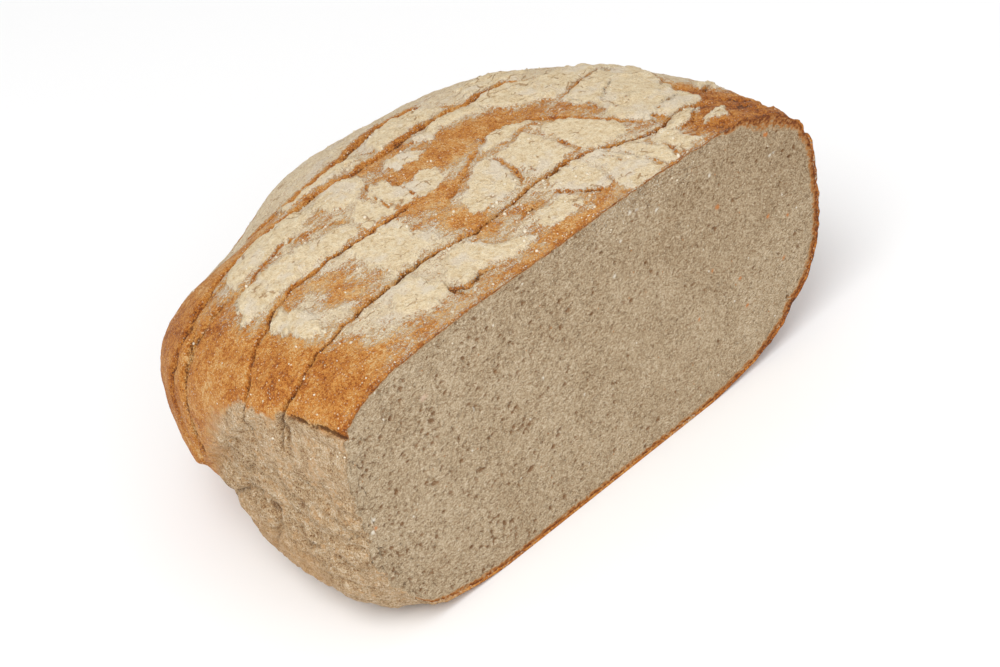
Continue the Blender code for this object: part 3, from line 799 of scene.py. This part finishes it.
def make_crumb(crust_outline, material):
    """The crumb: a plug whose front is the cut face, with open pores."""
    rng = np.random.default_rng(11)
    edge = inset(crust_outline, 0.34, 0.0)
    x, z = crumb_grid(edge)
    depth = pore_field(x, z, rng)
    flat = np.stack([x, np.zeros_like(x), z], axis=-1)
    waves = 0.12 * layered(flat, 9.0, 71) + 0.05 * layered(flat, 1.6, 72, 2)
    rows, columns = x.shape
    inner = smooth(0.0, 2.5, np.minimum.reduce([
        np.arange(rows)[:, None] * 0.5 + 0 * x, np.arange(rows)[::-1, None] * 0.5 + 0 * x,
        np.arange(columns)[None, :] * 0.5 + 0 * x, np.arange(columns)[None, ::-1] * 0.5 + 0 * x]))
    flush = runs_out(x, z)
    y = mix(0.55, 0.20, flush) + waves + depth * mix(0.4, 1.0, inner)
    y = np.maximum(y, mix(0.15, 0.02, flush))
    front = np.stack([x, y, z], axis=-1)

    # walk round the edge of the grid to join the front to the plug's sides
    ids = np.arange(rows * columns).reshape(rows, columns)
    border = np.concatenate([ids[0, :-1], ids[:-1, -1], ids[-1, :0:-1], ids[:0:-1, 0]])
    border_points = front.reshape(-1, 3)[border]
    centre = np.array((0.0, 0.0, 50.0))
    sides = []
    for shrunk, back in ((1.4, 2.0), (4.4, 4.6)):
        toward = centre - border_points
        toward[:, 1] = 0.0
        toward = toward / np.linalg.norm(toward, axis=1, keepdims=True)
        ring = border_points + toward * shrunk
        ring[:, 1] = back
        sides.append(ring)
    points = np.concatenate([front.reshape(-1, 3)] + sides)
    faces = []
    for row in range(rows - 1):
        for column in range(columns - 1):
            faces.append((ids[row, column], ids[row, column + 1],
                          ids[row + 1, column + 1], ids[row + 1, column]))
    count = len(border)
    start = rows * columns
    for column in range(count):
        after = (column + 1) % count
        faces.append((border[after], border[column], start + column, start + after))
    faces += [tuple(reversed(face)) for face in strip_faces(2, count, start)]
    faces.append(tuple(start + count + k for k in range(count)))

    pairs = edge[:, [0, 2]]
    to_edge = edge_distance(np.stack([x, z], axis=-1).reshape(-1, 2), pairs)
    tail = np.zeros(2 * count)
    flat_x, flat_z = x.reshape(-1), z.reshape(-1)
    thick = 1.1 + 2.8 * smooth(60.0, 96.0, flat_x) + 1.6 * smooth(20.0, 4.0, flat_z)
    thick = thick + 4.0 * hill(flat_x, 91.0, 15.0) * smooth(80.0, 92.0, flat_z)
    thick = thick * (1.0 - 0.95 * smooth(-80.0, -104.0, flat_x) * smooth(92.0, 84.0, flat_z))
    rim = np.clip(1.0 - to_edge / np.maximum(thick, 1e-3), 0.0, 1.0)
    # painted shade: the cut face is darker towards its upper right
    shade = smooth(-60.0, 100.0, flat_x) * smooth(20.0, 95.0, flat_z)
    bran, chalk = fleck_fields(x, z)
    powder = smooth(16.0, 2.0, to_edge) * hill(flat_x, 22.0, 34.0) * smooth(60.0, 84.0, flat_z)
    fields = {"pore": np.concatenate([depth.reshape(-1), tail]),
              "rim": np.concatenate([rim, tail]), "shade": np.concatenate([shade, tail]),
              "bran": np.concatenate([bran.reshape(-1), tail]),
              "chalk": np.concatenate([chalk.reshape(-1), tail]),
              "powder": np.concatenate([powder, tail])}
    faces = [tuple(int(k) for k in face) for face in faces]
    return new_object("crumb", points, faces, material, fields)


def edge_distance(spots, outline):
    """Distance of each spot from the closed outline, in millimetres."""
    nearest = np.full(len(spots), 1e9)
    for start, stop in zip(outline, np.roll(outline, -1, axis=0)):
        span = stop - start
        share = np.clip(((spots - start) @ span) / max(span @ span, 1e-9), 0.0, 1.0)
        away = np.linalg.norm(spots - start - share[:, None] * span, axis=1)
        nearest = np.minimum(nearest, away)
    return nearest


# ---------------------------------------------------------------- flour grains

CRUST_GRAINS = 800
CUT_FLAKES = 90
# Areas where flour lies in clumps: x, y, reach, share of the grains
CLUMPED = ((0, 8, 26, 0.30), (-70, 30, 34, 0.25), (-40, 80, 40, 0.20), (40, 20, 30, 0.15),
           (0, 60, 110, 0.10))


def lump(rng, size):
    """An uneven little lump: points of a pushed-about icosahedron."""
    golden = 0.5 * (1.0 + math.sqrt(5.0))
    corners = []
    for a in (-1.0, 1.0):
        for b in (-golden, golden):
            corners += [(0.0, a, b), (a, b, 0.0), (b, 0.0, a)]
    corners = np.array(corners) / math.hypot(1.0, golden)
    corners = corners * rng.uniform(0.72, 1.22, (len(corners), 1))
    return corners * size * rng.uniform(0.65, 1.25, 3)


def lump_faces():
    """The twenty triangles of the icosahedron, wound outward."""
    golden = 0.5 * (1.0 + math.sqrt(5.0))
    corners = []
    for a in (-1.0, 1.0):
        for b in (-golden, golden):
            corners += [(0.0, a, b), (a, b, 0.0), (b, 0.0, a)]
    corners = np.array(corners)
    faces = []
    for i in range(12):
        for j in range(i + 1, 12):
            for k in range(j + 1, 12):
                spans = [np.linalg.norm(corners[p] - corners[q]) for p, q in ((i, j), (j, k), (i, k))]
                if max(spans) < 2.01:
                    normal = np.cross(corners[j] - corners[i], corners[k] - corners[i])
                    outward = normal @ corners[i] > 0.0
                    faces.append((i, j, k) if outward else (i, k, j))
    return faces


def grain_places(rng, skin):
    """Points on the skin and sizes for the grains, thickest where flour clumps."""
    flat = skin.reshape(-1, 3)
    flat = flat[(flat[:, 2] > 70.0) & (flat[:, 1] > 0.6)]
    weight = np.zeros(len(flat))
    for x, y, reach, share in CLUMPED:
        near = hill(np.hypot(flat[:, 0] - x, flat[:, 1] - y), 0.0, reach)
        weight += share * near / near.sum()
    chosen = rng.choice(len(flat), CRUST_GRAINS, replace=False, p=weight / weight.sum())
    sizes = 0.14 + 0.10 * rng.gamma(1.4, 1.0, CRUST_GRAINS)
    sizes[:14] = rng.uniform(0.50, 0.75, 14)
    return flat[chosen], np.minimum(sizes, 0.8)


def flake_places(rng, outline):
    """Points on the cut face for loose flour, most of them below its top edge."""
    upper = outline[outline[:, 2] > 70.0]
    starts = upper[rng.integers(0, len(upper), CUT_FLAKES)]
    x = mix(starts[:, 0], 30.0, rng.uniform(0.0, 0.75, CUT_FLAKES))
    top = np.interp(x, upper[np.argsort(upper[:, 0]), 0], upper[np.argsort(upper[:, 0]), 2])
    z = top - 1.5 - rng.gamma(1.2, 9.0, CUT_FLAKES)
    places = np.stack([x, np.full(CUT_FLAKES, 0.55), np.clip(z, 6.0, 100.0)], axis=-1)
    return places, 0.12 + 0.07 * rng.gamma(1.3, 1.0, CUT_FLAKES)


def make_lumps(name, places, sizes, material, seed):
    """One piece made of many small lumps."""
    rng = np.random.default_rng(seed)
    shape = lump_faces()
    points, faces = [], []
    for place, size in zip(places, sizes):
        start = 12 * len(points)
        points.append(lump(rng, size) + place)
        faces += [(a + start, b + start, c + start) for a, b, c in shape]
    return new_object(name, np.concatenate(points), faces, material)


# ---------------------------------------------------------------- materials

def colour(red, green, blue):
    """A linear colour from display values 0..255."""
    shares = [value / 255.0 for value in (red, green, blue)]
    linear = [s / 12.92 if s <= 0.04045 else ((s + 0.055) / 1.055) ** 2.4 for s in shares]
    return (*linear, 1.0)


class Shader:
    """A material and short calls that add its nodes."""

    def __init__(self, name):
        self.material = bpy.data.materials.new(name)
        self.material.use_nodes = True
        self.nodes = self.material.node_tree.nodes
        self.links = self.material.node_tree.links
        self.surface = self.nodes["Principled BSDF"]
        place = self.nodes.new("ShaderNodeTexCoord")
        self.place = self.vector("SCALE", place.outputs["Object"], 1000.0)

    def put(self, socket, value):
        """Link a socket or set its value."""
        if isinstance(value, bpy.types.NodeSocket):
            self.links.new(value, socket)
        else:
            socket.default_value = value

    def vector(self, operation, first, amount):
        """Vector arithmetic."""
        node = self.nodes.new("ShaderNodeVectorMath")
        node.operation = operation
        self.put(node.inputs[0], first)
        if operation == "SCALE":
            self.put(node.inputs["Scale"], amount)
        else:
            self.put(node.inputs[1], amount)
        return node.outputs["Vector"]

    def sum(self, operation, first, second=0.0, clamp=False):
        """Arithmetic on two numbers."""
        node = self.nodes.new("ShaderNodeMath")
        node.operation = operation
        node.use_clamp = clamp
        self.put(node.inputs[0], first)
        self.put(node.inputs[1], second)
        return node.outputs[0]

    def field(self, name):
        """A number stored on the mesh's points."""
        node = self.nodes.new("ShaderNodeAttribute")
        node.attribute_name = name
        return node.outputs["Fac"]

    def noise(self, size, detail=2.0, rough=0.5, where=None):
        """Noise with features about size millimetres across."""
        node = self.nodes.new("ShaderNodeTexNoise")
        self.put(node.inputs["Vector"], where or self.place)
        node.inputs["Scale"].default_value = 1.0 / size
        node.inputs["Detail"].default_value = detail
        node.inputs["Roughness"].default_value = rough
        return node.outputs["Fac"]

    def cells(self, size, feature="F1", where=None, loose=1.0):
        """Cell pattern: distance to the nearest point or edge."""
        node = self.nodes.new("ShaderNodeTexVoronoi")
        node.feature = feature
        self.put(node.inputs["Vector"], where or self.place)
        node.inputs["Scale"].default_value = 1.0 / size
        node.inputs["Randomness"].default_value = loose
        return node.outputs["Distance"]

    def step(self, value, low, high):
        """Soft step: 0 below low, 1 above high (or the reverse)."""
        node = self.nodes.new("ShaderNodeMapRange")
        node.interpolation_type = "SMOOTHSTEP"
        reverse = low > high
        self.put(node.inputs["Value"], value)
        node.inputs["From Min"].default_value = min(low, high)
        node.inputs["From Max"].default_value = max(low, high)
        node.inputs["To Min"].default_value = 1.0 if reverse else 0.0
        node.inputs["To Max"].default_value = 0.0 if reverse else 1.0
        return node.outputs["Result"]

    def spread(self, value, reach=0.22):
        """Widen a noise, which keeps near its middle, to the full 0..1."""
        return self.step(value, 0.5 - reach, 0.5 + reach)

    def offset(self, value, reach):
        """A 0..1 value turned into one that swings evenly about zero."""
        return self.sum("MULTIPLY", self.sum("SUBTRACT", value, 0.5), reach)

    def ramp(self, value, stops):
        """A colour picked along a row of (position, colour) stops."""
        node = self.nodes.new("ShaderNodeValToRGB")
        self.put(node.inputs["Fac"], value)
        row = node.color_ramp.elements
        row[0].position, row[0].color = stops[0]
        row[1].position, row[1].color = stops[-1]
        for position, shade in stops[1:-1]:
            row.new(position).color = shade
        return node.outputs["Color"]

    def total(self, first, *others):
        """Sum of several numbers."""
        for other in others:
            first = self.sum("ADD", first, other)
        return first

    def warped(self, size, reach):
        """Coordinates pushed about by up to half of reach millimetres."""
        node = self.nodes.new("ShaderNodeTexNoise")
        self.put(node.inputs["Vector"], self.place)
        node.inputs["Scale"].default_value = 1.0 / size
        push = self.vector("SUBTRACT", node.outputs["Color"], (0.5, 0.5, 0.5))
        return self.vector("ADD", self.place, self.vector("SCALE", push, reach * 2.0))

    def blend(self, share, first, second):
        """Blend of two colours."""
        node = self.nodes.new("ShaderNodeMix")
        node.data_type = "RGBA"
        self.put(node.inputs[0], share)
        self.put(node.inputs[6], first)
        self.put(node.inputs[7], second)
        return node.outputs[2]

    def bump(self, height, distance, strength=1.0, normal=None):
        """Bump from a height, with its depth in millimetres."""
        node = self.nodes.new("ShaderNodeBump")
        node.inputs["Strength"].default_value = strength
        node.inputs["Distance"].default_value = distance / 1000.0
        self.put(node.inputs["Height"], height)
        if normal is not None:
            self.put(node.inputs["Normal"], normal)
        return node.outputs["Normal"]


def crust_material():
    """Baked crust: orange-brown, floured in plates and dust, pale where torn."""
    s = Shader("rye_crust")
    flour, crack, crazed = s.field("flour"), s.field("crack"), s.field("crazed")
    torn, bake = s.field("torn"), s.field("bake")
    streaks = s.vector("MULTIPLY", s.place, (0.45, 1.0, 1.0))
    broad = s.spread(s.noise(6.0, 4.0, 0.6))
    mid = s.spread(s.noise(1.3, 3.0, 0.6))
    fine = s.spread(s.noise(0.6, 2.0, 0.6), 0.16)
    grit = s.spread(s.noise(0.32, 1.0, 0.5), 0.14)
    streak = s.spread(s.noise(1.2, 4.0, 0.65, streaks))

    # baked crust, darker where baked most and in fine pits
    patchy = s.spread(s.noise(2.6, 3.0, 0.6))
    tone = s.total(bake, s.offset(broad, 0.32), s.offset(patchy, 0.18), s.offset(mid, 0.22),
                   s.offset(fine, 0.26), s.offset(grit, 0.26))
    baked = s.ramp(tone, ((0.0, colour(224, 188, 136)), (0.26, colour(211, 150, 76)),
                          (0.50, colour(193, 121, 48)), (0.76, colour(157, 84, 27)),
                          (1.0, colour(92, 52, 28))))
    grain = s.step(s.cells(1.05), 0.34, 0.20)
    sprinkled = s.step(s.total(flour, s.offset(patchy, 0.6), s.offset(mid, 0.7)), -0.10, 0.55)
    grain = s.sum("MULTIPLY", grain, sprinkled)
    baked = s.blend(s.sum("MULTIPLY", grain, 0.72), baked, colour(232, 210, 174))

    # torn side of the loaf
    fibres = s.vector("MULTIPLY", s.place, (0.8, 0.62, 1.0))
    fibre = s.spread(s.noise(1.9, 5.0, 0.65, fibres))
    shred = s.spread(s.noise(0.7, 2.0, 0.6))
    tone = s.total(0.5, s.offset(broad, 0.30), s.offset(fibre, 0.45), s.offset(shred, 0.40),
                   s.offset(fine, 0.25), s.offset(grit, 0.40))
    pale = s.ramp(tone, ((0.0, colour(128, 90, 54)), (0.26, colour(182, 146, 104)),
                         (0.58, colour(208, 178, 139)), (1.0, colour(238, 220, 192))))
    warm = s.sum("MULTIPLY", s.step(s.total(broad, s.offset(mid, 0.6)), 0.62, 1.0), 0.55)
    pale = s.blend(s.sum("MAXIMUM", warm, s.sum("MULTIPLY", s.step(bake, 0.3, 0.9), 0.5)), pale,
                   colour(208, 160, 106))
    # small dark cavities on the torn side: painted shade, the mesh has no holes there
    hole = s.step(s.cells(2.3, where=fibres), 0.17, 0.07)
    pale = s.blend(s.sum("MULTIPLY", hole, 0.6), pale, colour(128, 88, 52))
    surface = s.blend(torn, baked, pale)

    # flour: solid on the plates, broken into streaks and specks where thin
    amount = s.total(flour, s.offset(streak, 0.32), s.offset(fine, 0.26), s.offset(grit, 0.20))
    cover = s.step(amount, 0.40, 0.64)
    tone = s.total(0.5, s.offset(patchy, 0.38), s.offset(mid, 0.35), s.offset(fine, 0.30),
                   s.offset(grit, 0.22))
    cream = s.ramp(tone, ((0.0, colour(200, 168, 124)), (0.28, colour(225, 202, 162)),
                          (0.62, colour(238, 219, 182)), (1.0, colour(246, 233, 204))))
    cool = s.step(s.noise(9.0, 4.0, 0.6), 0.50, 0.66)
    cream = s.blend(s.sum("MULTIPLY", cool, 0.55), cream, colour(232, 222, 206))
    thin = s.step(amount, 0.95, 0.50)
    cream = s.blend(s.sum("MULTIPLY", thin, 0.60), cream, colour(222, 208, 188))
    bent = s.warped(5.0, 2.4)
    hairline = s.step(s.cells(6.5, "DISTANCE_TO_EDGE", s.vector("MULTIPLY", bent, (0.6, 1.0, 1.0))),
                      0.045, 0.015)
    where = s.sum("SUBTRACT", s.noise(7.0, 3.0, 0.6), s.sum("MULTIPLY", crazed, 0.16))
    hairline = s.sum("MULTIPLY", hairline, s.step(where, 0.42, 0.36))
    pit = s.step(s.cells(4.6, where=bent), 0.085, 0.04)
    mark = s.sum("MAXIMUM", s.sum("MULTIPLY", hairline, 0.75), s.sum("MULTIPLY", pit, 0.45))
    cream = s.blend(mark, cream, colour(160, 120, 78))
    surface = s.blend(s.sum("MULTIPLY", cover, 0.94), surface, cream)

    # cracks, creases, pits and fold hollows: dark crust inside the cracks, and painted shade in all of
    # these hollows
    line = s.step(s.total(crack, s.offset(fine, 0.35), s.offset(patchy, 0.35)), 0.36, 0.80)
    gap = s.blend(torn, colour(92, 56, 32), colour(124, 88, 55))
    surface = s.blend(s.sum("MULTIPLY", line, 0.84), surface, gap)

    s.put(s.surface.inputs["Base Color"], surface)
    s.put(s.surface.inputs["Roughness"], s.step(cover, -1.4, 1.0))
    s.surface.inputs["Specular IOR Level"].default_value = 0.22
    height = s.total(s.offset(mid, 0.40), s.offset(fine, 0.34), s.offset(grit, 0.22),
                     s.offset(cover, 0.30))
    shreds = s.sum("MULTIPLY", s.total(s.offset(fibre, 0.9), s.offset(shred, 0.5)), torn)
    height = s.sum("ADD", height, shreds)
    height = s.sum("SUBTRACT", height, s.sum("MULTIPLY", mark, s.sum("MULTIPLY", cover, 0.35)))
    s.put(s.surface.inputs["Normal"], s.bump(height, 0.65))
    return s.material


def crumb_material():
    """Close rye crumb: grey-tan, browned at the rim, with painted shade in the pores and towards the
    upper right.
    """
    s = Shader("rye_crumb")
    pore, rim, shade = s.field("pore"), s.field("rim"), s.field("shade")
    lean = s.nodes.new("ShaderNodeMapping")
    s.put(lean.inputs["Vector"], s.place)
    lean.inputs["Rotation"].default_value = (0.0, -0.35, 0.0)
    lean.inputs["Scale"].default_value = (0.62, 1.0, 1.0)
    where = lean.outputs["Vector"]
    broad = s.spread(s.noise(16.0, 3.0, 0.6))
    mid = s.spread(s.noise(0.85, 2.0, 0.55, where))
    fine = s.spread(s.noise(0.42, 2.0, 0.6, where))
    grit = s.spread(s.noise(0.25, 1.0, 0.5))
    tone = s.total(0.5, s.offset(broad, 0.16), s.offset(mid, 0.30), s.offset(fine, 0.66),
                   s.offset(grit, 0.56))
    # painted shade: darker towards the upper right of the cut face
    tone = s.sum("SUBTRACT", tone, s.sum("MULTIPLY", shade, 0.18))
    surface = s.ramp(tone, ((0.0, colour(128, 103, 74)), (0.30, colour(165, 142, 112)),
                            (0.60, colour(185, 164, 134)), (1.0, colour(209, 192, 166))))
    # fine dark strokes that lean with the pores: painted shade of small pores that the mesh doesn't
    # carry
    stroke = s.noise(0.9, 1.0, 0.5, s.vector("MULTIPLY", where, (0.5, 1.0, 1.6)))
    surface = s.blend(s.sum("MULTIPLY", s.step(stroke, 0.66, 0.74), 0.55), surface,
                      colour(134, 98, 60))
    # darker in the pores, by their depth: painted shade inside the pores
    surface = s.blend(s.sum("MULTIPLY", s.step(pore, 0.12, 0.75), 0.64), surface,
                      colour(134, 90, 50))
    bran = s.step(s.cells(5.5), 0.075, 0.045)
    surface = s.blend(s.sum("MULTIPLY", bran, 0.7), surface, colour(176, 118, 66))
    surface = s.blend(s.sum("MULTIPLY", s.field("bran"), 0.85), surface, colour(196, 120, 58))
    surface = s.blend(s.sum("MULTIPLY", s.field("chalk"), 0.9), surface, colour(228, 220, 204))
    specks = s.step(s.cells(0.9), 0.34, 0.16)
    powder = s.sum("MULTIPLY", specks, s.field("powder"))
    surface = s.blend(s.sum("MULTIPLY", powder, 0.8), surface, colour(214, 206, 190))
    fleck = s.step(s.cells(7.0, where=s.vector("ADD", s.place, (31.0, 7.0, 13.0))), 0.07, 0.045)
    surface = s.blend(s.sum("MULTIPLY", fleck, 0.8), surface, colour(228, 220, 204))
    rough_rim = s.total(s.offset(mid, 0.9), s.offset(s.spread(s.noise(2.4, 3.0, 0.6)), 0.9))
    edge = s.sum("ADD", rim, s.sum("MULTIPLY", rough_rim, rim))
    crust = s.ramp(s.sum("ADD", edge, s.offset(fine, 0.3)),
                   ((0.2, colour(186, 138, 84)), (0.6, colour(166, 106, 54)),
                    (1.0, colour(118, 66, 36))))
    surface = s.blend(s.step(edge, 0.12, 0.55), surface, crust)
    s.put(s.surface.inputs["Base Color"], surface)
    s.surface.inputs["Roughness"].default_value = 0.92
    s.surface.inputs["Specular IOR Level"].default_value = 0.15
    height = s.total(s.offset(mid, 0.22), s.offset(fine, 0.34), s.offset(grit, 0.30))
    s.put(s.surface.inputs["Normal"], s.bump(height, 0.40))
    return s.material


def grain_material():
    """Loose flour: off-white, a little warmer in places."""
    s = Shader("loose_flour")
    tint = s.spread(s.noise(2.2, 2.0, 0.5))
    s.put(s.surface.inputs["Base Color"],
          s.blend(tint, colour(214, 198, 170), colour(230, 220, 200)))
    s.surface.inputs["Roughness"].default_value = 0.95
    s.surface.inputs["Specular IOR Level"].default_value = 0.1
    s.put(s.surface.inputs["Normal"], s.bump(s.noise(0.2, 2.0, 0.6), 0.08))
    return s.material


# ---------------------------------------------------------------- scene

def floor_material():
    """Matt white studio floor."""
    s = Shader("studio_floor")
    s.surface.inputs["Base Color"].default_value = (0.93, 0.93, 0.93, 1.0)
    s.surface.inputs["Roughness"].default_value = 0.9
    s.surface.inputs["Specular IOR Level"].default_value = 0.1
    return s.material


def make_floor():
    """A wide flat floor under the loaf."""
    half = 4.0
    mesh = bpy.data.meshes.new("studio_floor")
    corners = [(-half, -half, 0.0), (half, -half, 0.0), (half, half, 0.0), (-half, half, 0.0)]
    mesh.from_pydata(corners, [], [(0, 1, 2, 3)])
    mesh.materials.append(floor_material())
    floor = bpy.data.objects.new("studio_floor", mesh)
    bpy.context.scene.collection.objects.link(floor)


def add_light(name, place, size, power, tint=(1.0, 1.0, 1.0)):
    """A square soft light aimed at the loaf."""
    lamp = bpy.data.lights.new(name, "AREA")
    lamp.shape = "SQUARE"
    lamp.size = size
    lamp.energy = power
    lamp.color = tint
    lamp_object = bpy.data.objects.new(name, lamp)
    lamp_object.location = place
    aim = Vector((0.0, 0.0, 0.05)) - Vector(place)
    lamp_object.rotation_euler = aim.to_track_quat("-Z", "Y").to_euler()
    bpy.context.scene.collection.objects.link(lamp_object)


def make_light():
    """Even white surroundings and one large soft light from the upper left."""
    world = bpy.data.worlds.new("studio")
    world.use_nodes = True
    background = world.node_tree.nodes["Background"]
    background.inputs["Color"].default_value = (1.0, 1.0, 1.0, 1.0)
    background.inputs["Strength"].default_value = 0.70
    bpy.context.scene.world = world
    add_light("key", (-0.9, -0.5, 1.5), 1.0, 18.0)
    add_light("fill", (-0.2, -1.5, 0.7), 1.4, 7.0)


VIEW_TURN = math.radians(38.456)     # the camera looks this far round from +Y to +X
VIEW_DOWN = math.radians(35.855)
VIEW_ROLL = math.radians(-10.859)
VIEW_AWAY = 0.8225
AIM = (0.0, 58.75, 42.3)             # point on the line of sight, loaf millimetres
AIM_RIGHT = 0.00434
AIM_UP = -0.00577
LENS = 85.1


def make_camera():
    """Camera at the height and side from which the loaf is shown."""
    forward = Vector((math.sin(VIEW_TURN) * math.cos(VIEW_DOWN),
                      math.cos(VIEW_TURN) * math.cos(VIEW_DOWN), -math.sin(VIEW_DOWN)))
    level = Vector((math.cos(VIEW_TURN), -math.sin(VIEW_TURN), 0.0))
    upright = level.cross(forward)
    right = level * math.cos(VIEW_ROLL) + upright * math.sin(VIEW_ROLL)
    up = upright * math.cos(VIEW_ROLL) - level * math.sin(VIEW_ROLL)
    place = Vector(to_frame(np.array(AIM))) - forward * VIEW_AWAY
    place = place + right * AIM_RIGHT + up * AIM_UP
    data = bpy.data.cameras.new("camera")
    data.lens = LENS
    data.sensor_width = 36.0
    data.clip_start = 0.05
    camera = bpy.data.objects.new("camera", data)
    axes = Matrix((right, up, -forward)).transposed()
    camera.matrix_world = Matrix.Translation(place) @ axes.to_4x4()
    bpy.context.scene.collection.objects.link(camera)
    bpy.context.scene.camera = camera


bpy.context.scene.view_settings.view_transform = "Standard"
make_floor()
make_light()
make_camera()

skin, skin_fields = crust_grid()
crust = make_crust(skin, skin_fields, crust_material())
crumb = make_crumb(skin[0], crumb_material())
flour_material = grain_material()
grain_spots, grain_sizes = grain_places(np.random.default_rng(5), skin)
make_lumps("flour_grains", grain_spots, grain_sizes, flour_material, 6)
flake_spots, flake_sizes = flake_places(np.random.default_rng(7), skin[0])
make_lumps("flour_on_cut", flake_spots, flake_sizes, flour_material, 8)
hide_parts("rye_loaf")
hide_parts("rye_loaf")
